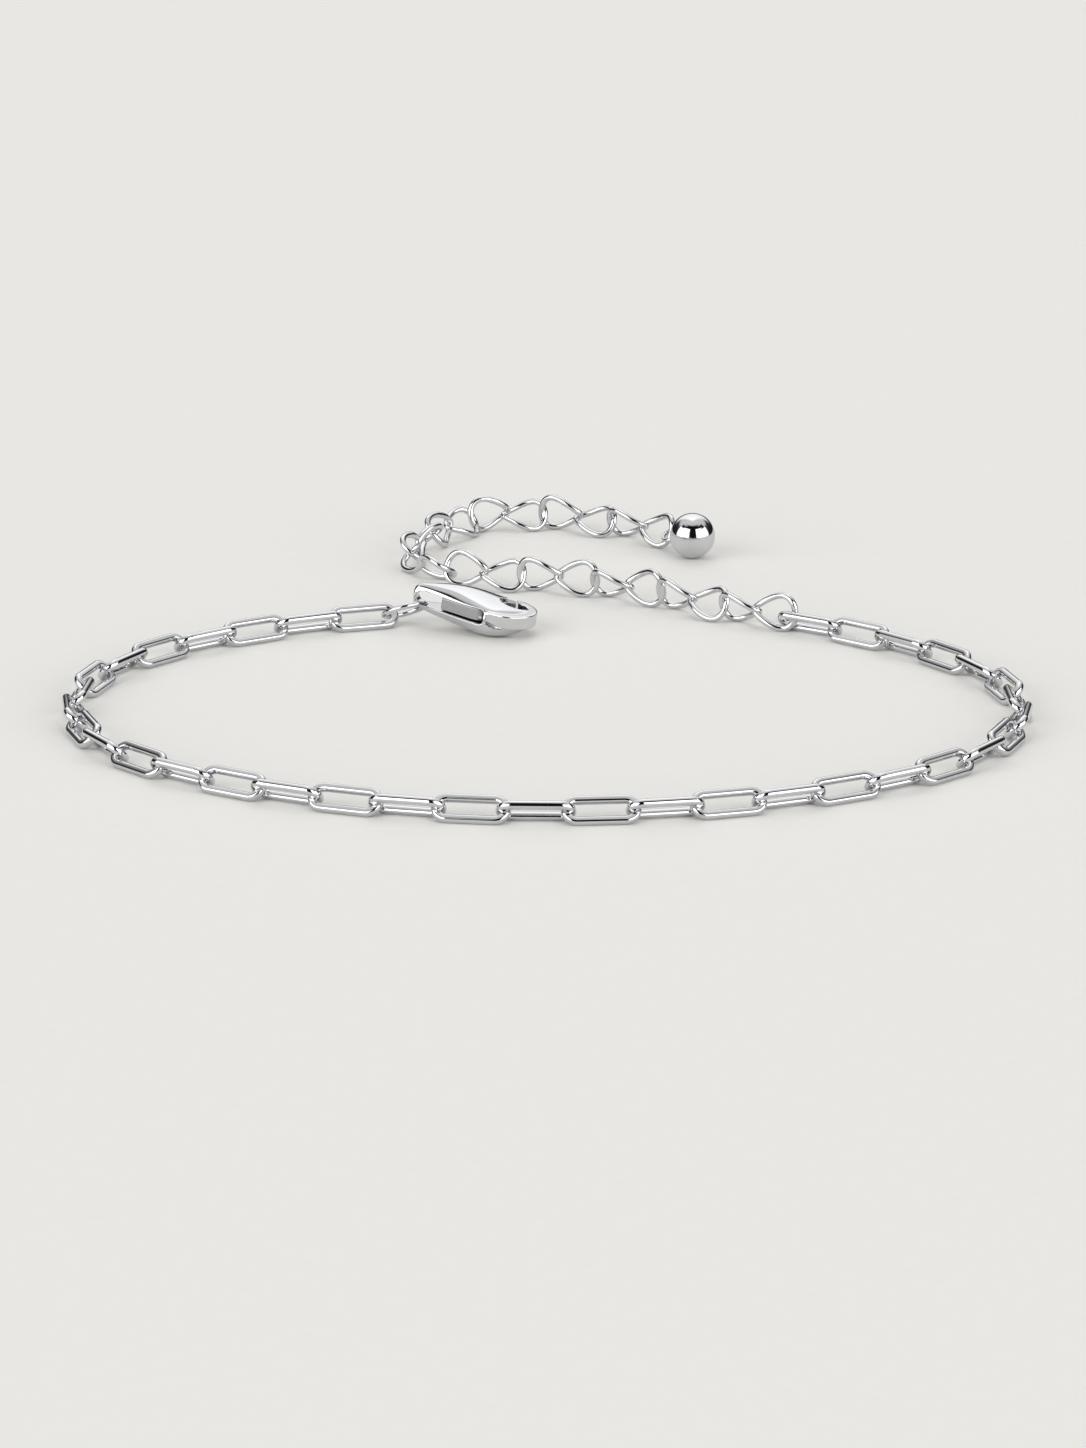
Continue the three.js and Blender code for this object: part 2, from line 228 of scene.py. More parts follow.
# Nearest and farthest that the camera sees, in metres
CAMERA_REACH = (0.01, 100.0)


class PaperclipSizes(bpy.types.PropertyGroup):
    """Sizes of a paperclip link."""

    length: FloatProperty(
        name="Length", description="Outside length of a link", default=0.00504, unit="LENGTH"
    )
    width: FloatProperty(
        name="Width", description="Outside width of a link", default=0.00202, unit="LENGTH"
    )
    thickness: FloatProperty(
        name="Wire thickness", description="Wire across the link's plane", default=0.00057, unit="LENGTH"
    )
    depth: FloatProperty(
        name="Wire depth", description="Wire along the link's normal", default=0.00056, unit="LENGTH"
    )
    rim: FloatProperty(
        name="Dome", description="How far the wire's sides bulge", default=0.00022, unit="LENGTH"
    )
    bend_steps: IntProperty(
        name="Bend steps", description="Faces round each half-circle bend", default=18, min=6
    )


class ExtenderSizes(bpy.types.PropertyGroup):
    """Sizes of the extender's oval links, the jump rings and the ball."""

    pitch: FloatProperty(name="Pitch", description="From link to link", default=0.00275, unit="LENGTH")
    length: FloatProperty(
        name="Length", description="Outside length of an oval", default=0.00351, unit="LENGTH"
    )
    width: FloatProperty(
        name="Width", description="Outside width of an oval", default=0.0026, unit="LENGTH"
    )
    wire: FloatProperty(
        name="Wire", description="Diameter of the ovals' wire", default=0.00046, unit="LENGTH"
    )
    twist: FloatProperty(
        name="Twist",
        description="Turn of an oval between its ends",
        default=math.radians(45),
        subtype="ANGLE",
    )
    taper: FloatProperty(
        name="Taper", description="How much narrower one end of an oval is", default=0.4, subtype="FACTOR"
    )
    ball: FloatProperty(
        name="Ball", description="Diameter of the end ball", default=0.0033, unit="LENGTH"
    )
    ball_eye: FloatProperty(
        name="Ball eye", description="Diameter of the ball's eye", default=0.001, unit="LENGTH"
    )
    ball_eye_wire: FloatProperty(
        name="Ball eye wire", description="Wire of the ball's eye", default=0.00034, unit="LENGTH"
    )
    clasp_ring: FloatProperty(
        name="Clasp ring",
        description="Diameter of the clasp's ring at its middle line",
        default=0.003,
        unit="LENGTH",
    )
    clasp_ring_wire: FloatProperty(
        name="Clasp ring wire", description="Wire of the clasp's ring", default=0.0004, unit="LENGTH"
    )
    end_ring: FloatProperty(
        name="End ring",
        description="Diameter of the ball's ring at its middle line",
        default=0.0015,
        unit="LENGTH",
    )
    end_ring_wire: FloatProperty(
        name="End ring wire", description="Wire of the ball's ring", default=0.0003, unit="LENGTH"
    )


class ClaspSizes(bpy.types.PropertyGroup):
    """Sizes of the lobster clasp."""

    lever: FloatProperty(
        name="Lever", description="Thickness of the lever", default=0.00088, unit="LENGTH"
    )
    nose: FloatProperty(
        name="Nose", description="Thickness of the flat nose", default=0.00098, unit="LENGTH"
    )
    pin: FloatProperty(
        name="Pin", description="Diameter of the hinge pin", default=0.00072, unit="LENGTH"
    )
    bore: FloatProperty(
        name="Bore", description="Diameter of the lever's bore", default=0.00092, unit="LENGTH"
    )
    grain: FloatProperty(
        name="Grain",
        description="Fineness of the cast form's mesh",
        default=0.000038,
        unit="LENGTH",
        precision=6,
    )


class SilverFinish(bpy.types.PropertyGroup):
    """Colours of the polished silver."""

    bright: FloatVectorProperty(
        name="Bright",
        description="Freshly polished silver",
        default=(0.655, 0.66, 0.675),
        subtype="COLOR",
    )
    dull: FloatVectorProperty(
        name="Dull",
        description="Silver where the polish is a little worn",
        default=(0.59, 0.59, 0.6),
        subtype="COLOR",
    )
    gloss: FloatProperty(
        name="Roughness", description="Roughness of the polish", default=0.045, subtype="FACTOR"
    )
    satin: FloatProperty(
        name="Satin", description="Roughness of the lever", default=0.26, subtype="FACTOR"
    )
    satin_shade: FloatProperty(
        name="Satin shade",
        description="How bright the lever is, against the polish",
        default=0.62,
        subtype="FACTOR",
    )


class StudioSettings(bpy.types.PropertyGroup):
    """The table, the light and the camera."""

    table: FloatVectorProperty(
        name="Table", description="Colour of the table", default=(0.819, 0.81, 0.782), subtype="COLOR"
    )
    light: FloatProperty(name="Light", description="Strength of the studio's light", default=1.0)
    wall: FloatProperty(
        name="Wall", description="Brightness of the wall seen behind the table", default=0.8
    )
    distance: FloatProperty(
        name="Camera distance", description="From the camera to the chain", default=0.4, unit="LENGTH"
    )
    elevation: FloatProperty(
        name="Camera height",
        description="Camera above the table",
        default=math.radians(16.28),
        subtype="ANGLE",
    )
    lens: FloatProperty(name="Lens", description="Focal length", default=152.65, unit="CAMERA")
    aim: FloatVectorProperty(
        name="Aim",
        description="Point the camera looks at",
        default=(-0.000236, -0.017396, 0.00079),
        subtype="XYZ",
    )


class Socket:
    """A socket of a node tree. Arithmetic on sockets adds Math nodes."""

    def __init__(self, tree, link=None):
        self.tree = tree
        self.link = link

    def node(self, kind, settings=None, inputs=None, output=0):
        """A new node of that kind: its settings first, then its inputs' values or links."""
        node = self.tree.nodes.new(kind)
        for name, value in (settings or {}).items():
            if name == "stops":
                ramp = node.color_ramp.elements
                while len(ramp) < len(value):
                    ramp.new(0.5)
                for element, (position, colour) in zip(ramp, value):
                    element.position = position
                    element.color = (*colour, 1.0)
            else:
                setattr(node, name, value)
        for name, value in (inputs or {}).items():
            if isinstance(value, Socket):
                self.tree.links.new(value.link, node.inputs[name])
            else:
                node.inputs[name].default_value = value
        return Socket(self.tree, node.outputs[output] if node.outputs else None)

    def math(self, operation, first, second):
        return self.node("ShaderNodeMath", {"operation": operation}, {0: first, 1: second})

    def blend(self, share, first, second):
        """A mix of two colours."""
        return self.node("ShaderNodeMix", {"data_type": "RGBA"}, {0: share, 6: first, 7: second}, output=2)

    def greys(self, factor, stops):
        """A ramp of greys: where each one is, and how bright."""
        colours = [(at, (shade, shade, shade)) for at, shade in stops]
        return self.node("ShaderNodeValToRGB", {"stops": colours}, {"Fac": factor})

    def __add__(self, other):
        return self.math("ADD", self, other)

    def __radd__(self, other):
        return self.math("ADD", other, self)

    def __mul__(self, other):
        return self.math("MULTIPLY", self, other)

    def __rmul__(self, other):
        return self.math("MULTIPLY", other, self)


def new_material(name):
    material = bpy.data.materials.new(name)
    material.use_nodes = True
    material.node_tree.nodes.clear()
    return material, Socket(material.node_tree)


def shaded(colour, shade):
    """A colour made darker or lighter, with its alpha."""
    return (*(shade * c for c in colour), 1.0)


def silver(name, finish, gloss, shade=1.0):
    """Polished silver: faint clouds where the polish is worn, and hairline scratches from wear."""
    if name in bpy.data.materials:
        return bpy.data.materials[name]
    material, tree = new_material(name)
    place = tree.node("ShaderNodeTexCoord", output="Object")
    clouds = tree.node(
        "ShaderNodeTexNoise", inputs={"Vector": place, "Scale": CLOUDS_PER_METRE, "Detail": 3.0}
    )
    squeezed = tree.node("ShaderNodeMapping", inputs={"Vector": place, "Scale": HAIR_SQUEEZE})
    hairs = tree.node(
        "ShaderNodeTexNoise", inputs={"Vector": squeezed, "Scale": HAIRS_PER_METRE, "Detail": 2.0}
    )
    worn = tree.greys(clouds, zip(WORN_RANGE, (0.0, 1.0)))
    colour = tree.blend(worn * WORN_COLOUR, shaded(finish.bright, shade), shaded(finish.dull, shade))
    bump = tree.node(
        "ShaderNodeBump", inputs={"Height": hairs, "Strength": HAIR_STRENGTH, "Distance": HAIR_HEIGHT}
    )
    shader = tree.node(
        "ShaderNodeBsdfPrincipled",
        inputs={
            "Base Color": colour,
            "Metallic": 1.0,
            "Roughness": gloss + WORN_ROUGHNESS * worn + HAIR_ROUGHNESS * hairs,
            "Normal": bump,
        },
    )
    tree.node("ShaderNodeOutputMaterial", inputs={"Surface": shader})
    return material


def table_material(colour):
    """Matt pale board with a faint mottle."""
    material, tree = new_material("pale_board")
    place = tree.node("ShaderNodeTexCoord", output="Object")
    mottle = tree.node(
        "ShaderNodeTexNoise", inputs={"Vector": place, "Scale": MOTTLE_PER_METRE, "Detail": 4.0}
    )
    dark, light = (shaded(colour, shade) for shade in MOTTLE_SHADES)
    shader = tree.node(
        "ShaderNodeBsdfPrincipled",
        inputs={"Base Color": tree.blend(mottle, dark, light), "Roughness": 0.9, "Specular IOR Level": 0.15},
    )
    tree.node("ShaderNodeOutputMaterial", inputs={"Surface": shader})
    return material


def deselect():
    if bpy.context.object and bpy.context.object.mode == "EDIT":
        bpy.ops.object.mode_set(mode="OBJECT")
    bpy.ops.object.select_all(action="DESELECT")


def start_editing(piece):
    bpy.context.view_layer.objects.active = piece
    bpy.ops.object.mode_set(mode="EDIT")
    bpy.ops.mesh.select_mode(type="VERT")
    bpy.ops.mesh.select_all(action="SELECT")


def stop_editing():
    bpy.ops.object.mode_set(mode="OBJECT")


def settle():
    """Puts the place, turn and scale of the new object into its mesh."""
    bpy.ops.object.transform_apply(location=True, rotation=True, scale=True)


def turn_outward():
    """Turns all faces outward and leaves them selected, in edit mode."""
    bpy.ops.mesh.select_all(action="SELECT")
    bpy.ops.mesh.normals_make_consistent(inside=False)


def pick_edges(piece, wanted):
    """Selects the edges that a test on the edge picks, in edit mode."""
    mesh = bmesh.from_edit_mesh(piece.data)
    bpy.ops.mesh.select_mode(type="EDGE")
    for edge in mesh.edges:
        edge.select_set(wanted(edge))
    mesh.select_flush_mode()
    bmesh.update_edit_mesh(piece.data)


def section(size, rim, location, rotation, segments=6):
    """A rounded rectangle, standing where a wire or a cutter starts. It stays in edit mode."""
    deselect()
    bpy.ops.mesh.primitive_plane_add(size=1.0, location=location, rotation=rotation)
    piece = bpy.context.object
    piece.scale = (*size, 1.0)
    settle()
    start_editing(piece)
    bpy.ops.mesh.bevel(offset=rim, segments=segments, affect="VERTICES", profile=0.5)
    return piece


def close_ring():
    """Merges the end of a wire with its start and turns the faces outward."""
    bpy.ops.mesh.select_all(action="SELECT")
    bpy.ops.mesh.remove_doubles(threshold=MERGE_WITHIN)
    turn_outward()
    stop_editing()


def smooth(piece, weighted=False, crease=None):
    """Shades a piece smooth, up to a crease's angle in degrees if there is one."""
    deselect()
    piece.select_set(True)
    bpy.context.view_layer.objects.active = piece
    if crease:
        bpy.ops.object.shade_smooth_by_angle(angle=math.radians(crease))
    else:
        bpy.ops.object.shade_smooth()
    if weighted:
        change(piece, "WEIGHTED_NORMAL", mode="FACE_AREA", weight=50, keep_sharp=True)


def change(piece, kind, **settings):
    """Adds a modifier and applies it."""
    bpy.context.view_layer.objects.active = piece
    modifier = piece.modifiers.new(kind.lower(), kind)
    for name, value in settings.items():
        setattr(modifier, name, value)
    bpy.ops.object.modifier_apply(modifier=modifier.name)


def cut(piece, cutter, operation="DIFFERENCE", keep=False):
    """Cuts a piece with another, which is then removed unless it is kept for the next cut."""
    change(piece, "BOOLEAN", operation=operation, object=cutter, solver="EXACT")
    if not keep:
        bpy.data.objects.remove(cutter)


def copy_of(template):
    """A copy with a mesh of its own."""
    piece = template.copy()
    piece.data = template.data.copy()
    bpy.context.scene.collection.objects.link(piece)
    return piece


def put(piece, place, name, body, nodes, material):
    """Sets a piece down at its real size, with its place in its mesh, on a body."""
    piece.name = piece.data.name = name
    piece.data.transform(Matrix.Scale(MM, 4) @ place @ piece.matrix_world)
    piece.matrix_world = Matrix.Identity(4)
    piece.data.materials.clear()
    piece.data.materials.append(material)
    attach(piece, body)
    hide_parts(*nodes)
    return piece


def corners_of(node):
    """A CAD node's own corners, in millimetres."""
    points = {tuple(round(c / MM, 4) for c in v.co) for v in frame["nodes"][node].data.vertices}
    return np.array(sorted(points))


def lie_of(node):
    """Where a flat ring of wire lies: its middle, with its length along X and its normal along Z."""
    points = corners_of(node)
    middle = points.mean(0)
    _, axes = np.linalg.eigh(np.cov((points - middle).T))
    along, across = Vector(axes[:, 2]), Vector(axes[:, 1])
    place = Matrix((along, across, along.cross(across))).transposed().to_4x4()
    place.translation = Vector(middle)
    return place


def facing(heading, dip=0.0, roll=0.0):
    """A turn about the length, then a tip of the front down, then a heading, in degrees."""
    return (
        Matrix.Rotation(math.radians(heading), 4, "Z")
        @ Matrix.Rotation(math.radians(dip), 4, "Y")
        @ Matrix.Rotation(math.radians(roll), 4, "X")
    )


def heading_vector(degrees):
    return Vector((math.cos(math.radians(degrees)), math.sin(math.radians(degrees)), 0.0))


def drop(piece, place):
    """The same place at the height where the piece's lowest point is on the table."""
    lowest = min((place @ piece.matrix_world @ v.co).z for v in piece.data.vertices)
    return Matrix.Translation((0.0, 0.0, -lowest)) @ place


def wire_ring(diameter, wire, steps=40, sides=12, slit=0.0):
    """A ring of round wire in the XY plane. A slit leaves its two cut ends apart."""
    deselect()
    bpy.ops.mesh.primitive_circle_add(
        vertices=sides, radius=wire / 2, location=(diameter / 2, 0.0, 0.0), rotation=(math.pi / 2, 0.0, 0.0)
    )
    piece = bpy.context.object
    settle()
    start_editing(piece)
    bpy.ops.mesh.spin(
        steps=steps, angle=2 * math.pi - slit, center=(0.0, 0.0, 0.0), axis=(0.0, 0.0, 1.0)
    )
    if slit:
        pick_edges(piece, lambda edge: edge.is_boundary)
        bpy.ops.mesh.edge_face_add()
    close_ring()
    return piece


def paperclip_link(sizes):
    """One link of flat wire with domed sides, swept round two bends and along two straight sides."""
    thickness, depth = sizes.thickness / MM, sizes.depth / MM
    straight = (sizes.length - sizes.width) / MM
    radius = sizes.width / MM / 2 - thickness / 2
    rim = sizes.rim / MM
    start = (straight / 2, -radius, 0.0)
    piece = section((2 * rim, thickness), CORNER_SHARE * rim, start, (0.0, math.pi / 2, 0.0))
    bpy.ops.mesh.delete(type="ONLY_FACE")
    bpy.ops.mesh.select_all(action="SELECT")
    bpy.ops.transform.resize(value=(1.0, 1.0, depth / (2 * rim)))
    for end in (1, -1):
        bpy.ops.mesh.spin(
            steps=sizes.bend_steps,
            angle=math.pi,
            center=(end * straight / 2, 0.0, 0.0),
            axis=(0.0, 0.0, -1.0),
        )
        bpy.ops.mesh.extrude_region_move(TRANSFORM_OT_translate={"value": (-end * straight, 0.0, 0.0)})
    close_ring()
    smooth(piece, weighted=True)
    return piece


def oval_link(sizes, taper):
    """One extender link: a ring of round wire pulled to an oval with a narrow end, and twisted."""
    wire = sizes.wire / MM
    length, width = sizes.length / MM - wire, sizes.width / MM - wire
    round_diameter = 1.0
    piece = wire_ring(round_diameter, wire, steps=48)
    for vertex in piece.data.vertices:
        x, y, z = vertex.co
        around = math.atan2(y, x)
        cos, sin = math.cos(around), math.sin(around)
        narrowed = 1 - taper * cos
        middle = Vector((length / 2 * cos, width / 2 * sin * narrowed, 0.0))
        out = Vector((width * (cos * narrowed + taper * sin * sin), length * sin, 0.0)).normalized()
        point = middle + out * (math.hypot(x, y) - round_diameter / 2) + Vector((0.0, 0.0, z))
        vertex.co = Matrix.Rotation(sizes.twist * middle.x / length, 3, "X") @ point
    smooth(piece)
    return piece


def box_between(low, high):
    deselect()
    size = [b - a for a, b in zip(low, high)]
    middle = [(a + b) / 2 for a, b in zip(low, high)]
    bpy.ops.mesh.primitive_cube_add(size=1.0, location=middle)
    piece = bpy.context.object
    piece.scale = size
    settle()
    return piece


def rod(diameter, length, location, sides=32, stretch=(1.0, 1.0)):
    deselect()
    bpy.ops.mesh.primitive_cylinder_add(
        vertices=sides, radius=diameter / 2, depth=length, location=location
    )
    piece = bpy.context.object
    piece.scale = (*stretch, 1.0)
    settle()
    return piece


def clasp_place():
    """The clasp's own frame: its tail at the origin, its nose along X, its pin along Z."""
    pivot = Vector(frame["joints"][0]["pos_m"]) / MM
    turn = facing(CLASP_HEADING, CLASP_DIP)
    pivot.z += CLASP_LIFT
    return Matrix.Translation(pivot) @ turn @ Matrix.Translation((-CLASP_PIVOT_AT, 0.0, 0.0))


def clasp_cheeks(sides=32):
    """Both cheeks and the eye as one teardrop: a round section extruded and fitted step by step."""
    deselect()
    bpy.ops.mesh.primitive_circle_add(
        vertices=sides, radius=1.0, fill_type="NGON", rotation=(0.0, math.pi / 2, 0.0)
    )
    piece = bpy.context.object
    settle()
    start_editing(piece)
    for _ in CHEEK_FORM[1:]:
        bpy.ops.mesh.extrude_region_move(TRANSFORM_OT_translate={"value": (1.0, 0.0, 0.0)})
    turn_outward()
    stop_editing()
    for vertex in piece.data.vertices:
        at, wide, thick, squareness, middle = CHEEK_FORM[round(vertex.co.x)]
        across, up = (math.copysign(abs(c) ** (2 / squareness), c) for c in vertex.co.yz)
        vertex.co = (at, wide * across, thick * up + middle)
    change(piece, "SUBSURF", levels=2, render_levels=2)
    return piece


def plate(outline, thick, rim):
    """A flat plate with an outline in the XY plane, drawn from one point on, its edges rounded."""
    deselect()
    bpy.ops.mesh.primitive_plane_add(size=1.0)
    piece = bpy.context.object
    start_editing(piece)
    mesh = bmesh.from_edit_mesh(piece.data)
    mesh.verts.ensure_lookup_table()
    mesh.verts[0].co = (*outline[0], -thick / 2)
    for vertex in mesh.verts:
        vertex.select_set(vertex.index != 0)
    mesh.select_flush_mode()
    bpy.ops.mesh.delete(type="VERT")
    bpy.ops.mesh.select_all(action="SELECT")
    for (x, y), (to_x, to_y) in zip(outline, outline[1:]):
        bpy.ops.mesh.extrude_vertices_move(TRANSFORM_OT_translate={"value": (to_x - x, to_y - y, 0.0)})
    bpy.ops.mesh.select_all(action="SELECT")
    bpy.ops.mesh.edge_face_add()
    bpy.ops.mesh.extrude_region_move(TRANSFORM_OT_translate={"value": (0.0, 0.0, thick)})
    turn_outward()
    bpy.ops.mesh.bevel(offset=rim, segments=3, affect="EDGES", profile=0.5)
    stop_editing()
    return piece


def smooth_outline(points, steps):
    """Points of a smooth curve through an open row of points."""
    row = [np.array(p) for p in points]
    row = [2 * row[0] - row[1], *row, 2 * row[-1] - row[-2]]
    curve = []
    for a, b, c, d in zip(row, row[1:], row[2:], row[3:]):
        square = 2 * a - 5 * b + 4 * c - d
        cube = 3 * b - a - 3 * c + d
        for step in range(steps):
            t = step / steps
            curve.append(tuple(0.5 * (2 * b + (c - a) * t + square * t**2 + cube * t**3)))
    return curve + [tuple(row[-2])]


def clasp_openings():
    """What is open in the clasp: the slot, its round end, the lever's way, the hook and its mouth."""
    far = PAST_THE_BODY
    half = SLOT["height"] / 2
    tail = SLOT["start"] + half
    slot = section(
        (SLOT["end"] - tail, SLOT["height"]),
        SLOT["corner"],
        ((tail + SLOT["end"]) / 2, far, 0.0),
        (math.pi / 2, 0.0, 0.0),
    )
    bpy.ops.mesh.extrude_region_move(TRANSFORM_OT_translate={"value": (0.0, -2 * far, 0.0)})
    turn_outward()
    stop_editing()
    middle = tail + EYE_STRETCH
    eye = rod(SLOT["height"] - EYE_PLAY, 2 * far, (0.0, 0.0, 0.0), sides=48)
    eye.data.transform(Matrix.Translation((middle, 0.0, 0.0)) @ Matrix.Rotation(math.pi / 2, 4, "X"))
    for vertex in eye.data.vertices:
        if vertex.co.x < middle:
            vertex.co.x -= EYE_STRETCH * (middle - vertex.co.x) / half
    way = box_between((LEVER_WAY["start"], LEVER_WAY["near"], -half), (LEVER_WAY["end"], far, half))
    start, end = HOOK_OPENING["start"], HOOK_OPENING["end"]
    near, inner = HOOK_OPENING["near"], HOOK_OPENING["far"]
    hook = rod(1.0, 2 * far, (0.0, 0.0, 0.0), sides=64, stretch=(end - start, inner - near))
    hook.data.transform(Matrix.Translation(((start + end) / 2, (near + inner) / 2, 0.0)))
    mouth = rod(2 * MOUTH["reach"], 2 * far, (CLASP_PIVOT_AT, 0.0, 0.0), sides=160)
    side = box_between((MOUTH["start"], MOUTH["inner"], -2 * far), (2 * far, far, 2 * far))
    cut(mouth, side, "INTERSECT")
    return [slot, eye, way, hook, mouth]


def clasp_body(sizes):
    """Cheeks, eye, hook and hinge pin, as one smooth casting."""
    piece = clasp_cheeks()
    upright = Matrix.Rotation(math.pi / 2, 4, "X")
    gap = plate([*NOSE_GAP, *((x, -z) for x, z in reversed(NOSE_GAP))], 2 * PAST_THE_BODY, CUTTER_RIM)
    gap.data.transform(upright)
    cut(piece, gap)
    one_side = smooth_outline([(x, -y) for x, y in NOSE_OUTLINE], NOSE_STEPS)
    other_side = [(x, -y) for x, y in reversed(one_side[:-1])]
    nose = plate(one_side + other_side, sizes.nose / MM, NOSE_RIM)
    for opening in clasp_openings():
        cut(nose, opening, keep=True)
        cut(piece, opening)
    for side in (-1.0, 1.0):
        groove = plate(NOSE_GROOVE, GROOVE_DEPTH, CUTTER_RIM)
        middle = side * (GROOVE_FLOOR + GROOVE_DEPTH / 2)
        groove.data.transform(Matrix.Translation((0.0, middle, 0.0)) @ upright)
        cut(nose, groove, keep=True)
        cut(piece, groove)
    pin = rod(sizes.pin / MM, SLOT["height"] + PIN_IN_CHEEKS, (CLASP_PIVOT_AT, 0.0, 0.0))
    deselect()
    for part in (nose, pin, piece):
        part.select_set(True)
    bpy.context.view_layer.objects.active = piece
    bpy.ops.object.join()
    change(piece, "REMESH", mode="VOXEL", voxel_size=sizes.grain / MM)
    change(piece, "SMOOTH", factor=0.5, iterations=POLISH_ROUNDS)
    smooth(piece)
    return piece


def clasp_lever(sizes):
    """The lever: root, gate and thumb tab cut from plate, its edges rounded, with a bore for the pin."""
    thick = sizes.lever / MM
    piece = plate(LEVER_OUTLINE, thick, LEVER_RIM)
    cut(piece, rod(sizes.bore / MM, 2 * thick, (CLASP_PIVOT_AT, 0.0, 0.0)))
    smooth(piece, weighted=True, crease=LEVER_CREASE)
    return piece


def extender_steps(pitch):
    """Middle, heading and roll of each extender link, starting at the end of the last paperclip link."""
    last, before = lie_of(f"link_{LINK_COUNT:02}"), lie_of(f"link_{LINK_COUNT - 1:02}")
    ahead = last.col[0].to_3d()
    if ahead.dot(last.translation - before.translation) < 0:
        ahead = -ahead
    ahead.z = 0.0
    end = last.translation + ahead.normalized() * CHAIN_PITCH / 2
    chain_heading = math.degrees(math.atan2(ahead.y, ahead.x)) + CHAIN_LAST_TURN / 2
    joint = end - heading_vector(chain_heading) * EXTENDER_SET_BACK
    joint.z = 0.0
    heading = EXTENDER_HEADING
    steps = []
    for bend, roll in EXTENDER_LINKS:
        forward = heading_vector(heading + bend / 2)
        steps.append((joint + forward * pitch / 2, heading + bend / 2, roll))
        joint = joint + forward * pitch
        heading += bend
    return steps, heading


class BRACELET_OT_paperclip_links(bpy.types.Operator):
    """Models one paperclip link and lays a copy of it in the place of each link of the chain"""

    bl_idname = "bracelet.paperclip_links"
    bl_label = "Paperclip links"

    def execute(self, context):
        finish = context.scene.silver_finish
        metal = silver("polished_silver", finish, finish.gloss)
        template = paperclip_link(context.scene.paperclip_sizes)
        for number in range(1, LINK_COUNT + 1):
            name = f"link_{number:02}"
            put(copy_of(template), lie_of(name), f"paperclip_{name}", "bracelet", [name], metal)
        bpy.data.objects.remove(template)
        return {"FINISHED"}


class BRACELET_OT_jump_rings(bpy.types.Operator):
    """Bends the clasp's ring and the ball's ring from round wire"""

    bl_idname = "bracelet.jump_rings"
    bl_label = "Jump rings"

    def execute(self, context):
        sizes, finish = context.scene.extender_sizes, context.scene.silver_finish
        metal = silver("polished_silver", finish, finish.gloss)
        for node, diameter, wire in (
            ("clasp_ring", sizes.clasp_ring, sizes.clasp_ring_wire),
            ("end_ring", sizes.end_ring, sizes.end_ring_wire),
        ):
            piece = wire_ring(diameter / MM, wire / MM, slit=RING_CUT)
            smooth(piece)
            put(piece, lie_of(node), f"{node}_wire", "bracelet", [node], metal)
        return {"FINISHED"}


class BRACELET_OT_clasp_body(bpy.types.Operator):
    """Models the lobster clasp's cheeks, eye and hook"""

    bl_idname = "bracelet.clasp_body"
    bl_label = "Clasp body"

    def execute(self, context):
        finish = context.scene.silver_finish
        metal = silver("polished_silver", finish, finish.gloss)
        piece = clasp_body(context.scene.clasp_sizes)
        put(piece, clasp_place(), "clasp_casting", "bracelet", ["clasp_body"], metal)
        return {"FINISHED"}


class BRACELET_OT_clasp_lever(bpy.types.Operator):
    """Models the lobster clasp's lever"""

    bl_idname = "bracelet.clasp_lever"
    bl_label = "Clasp lever"

    def execute(self, context):
        finish = context.scene.silver_finish
        metal = silver("satin_silver", finish, finish.satin, shade=finish.satin_shade)
        piece = clasp_lever(context.scene.clasp_sizes)
        put(piece, clasp_place(), "clasp_lever_plate", "lever", ["clasp_lever"], metal)
        return {"FINISHED"}


class BRACELET_OT_extender(bpy.types.Operator):
    """Models one oval link and lays a copy of it at each step of the extender"""

    bl_idname = "bracelet.extender"
    bl_label = "Extender"

    def execute(self, context):
        sizes, finish = context.scene.extender_sizes, context.scene.silver_finish
        metal = silver("polished_silver", finish, finish.gloss)
        templates = [oval_link(sizes, taper) for taper in (-sizes.taper, sizes.taper)]
        steps, _ = extender_steps(sizes.pitch / MM)
        for number, (middle, heading, roll) in enumerate(steps, 1):
            piece = copy_of(templates[number % 2])
            place = drop(piece, Matrix.Translation(middle) @ facing(heading, roll=roll))
            put(piece, place, f"extender_link_{number:02}", "bracelet", ["extender_chain"], metal)
        for template in templates:
            bpy.data.objects.remove(template)
        return {"FINISHED"}


class BRACELET_OT_end_ball(bpy.types.Operator):
    """Models the ball with its soldered eye"""

    bl_idname = "bracelet.end_ball"
    bl_label = "End ball"

    def execute(self, context):
        sizes, finish = context.scene.extender_sizes, context.scene.silver_finish
        metal = silver("polished_silver", finish, finish.gloss)
        radius = sizes.ball / MM / 2
        eye_middle = radius + sizes.ball_eye / MM / 2 - BALL_EYE_SINK
        eye = wire_ring(sizes.ball_eye / MM, sizes.ball_eye_wire / MM, steps=32)
        upright = Matrix.Rotation(math.pi / 2, 4, "X")
        eye.data.transform(Matrix.Translation((-eye_middle, 0.0, 0.0)) @ upright)
        deselect()
        bpy.ops.mesh.primitive_uv_sphere_add(
            segments=64, ring_count=32, radius=radius, rotation=(0.0, math.pi / 2, 0.0)
        )
        ball = bpy.context.object
        settle()
        eye.select_set(True)
        bpy.ops.object.join()
        smooth(ball)
        _, heading = extender_steps(sizes.pitch / MM)
        low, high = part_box("end_ball")
        middle = Vector((high.x / MM - radius, low.y / MM + radius, radius))
        place = Matrix.Translation(middle) @ facing(heading, dip=BALL_DIP)
        put(ball, place, "ball_with_eye", "bracelet", ["end_ball"], metal)
        return {"FINISHED"}


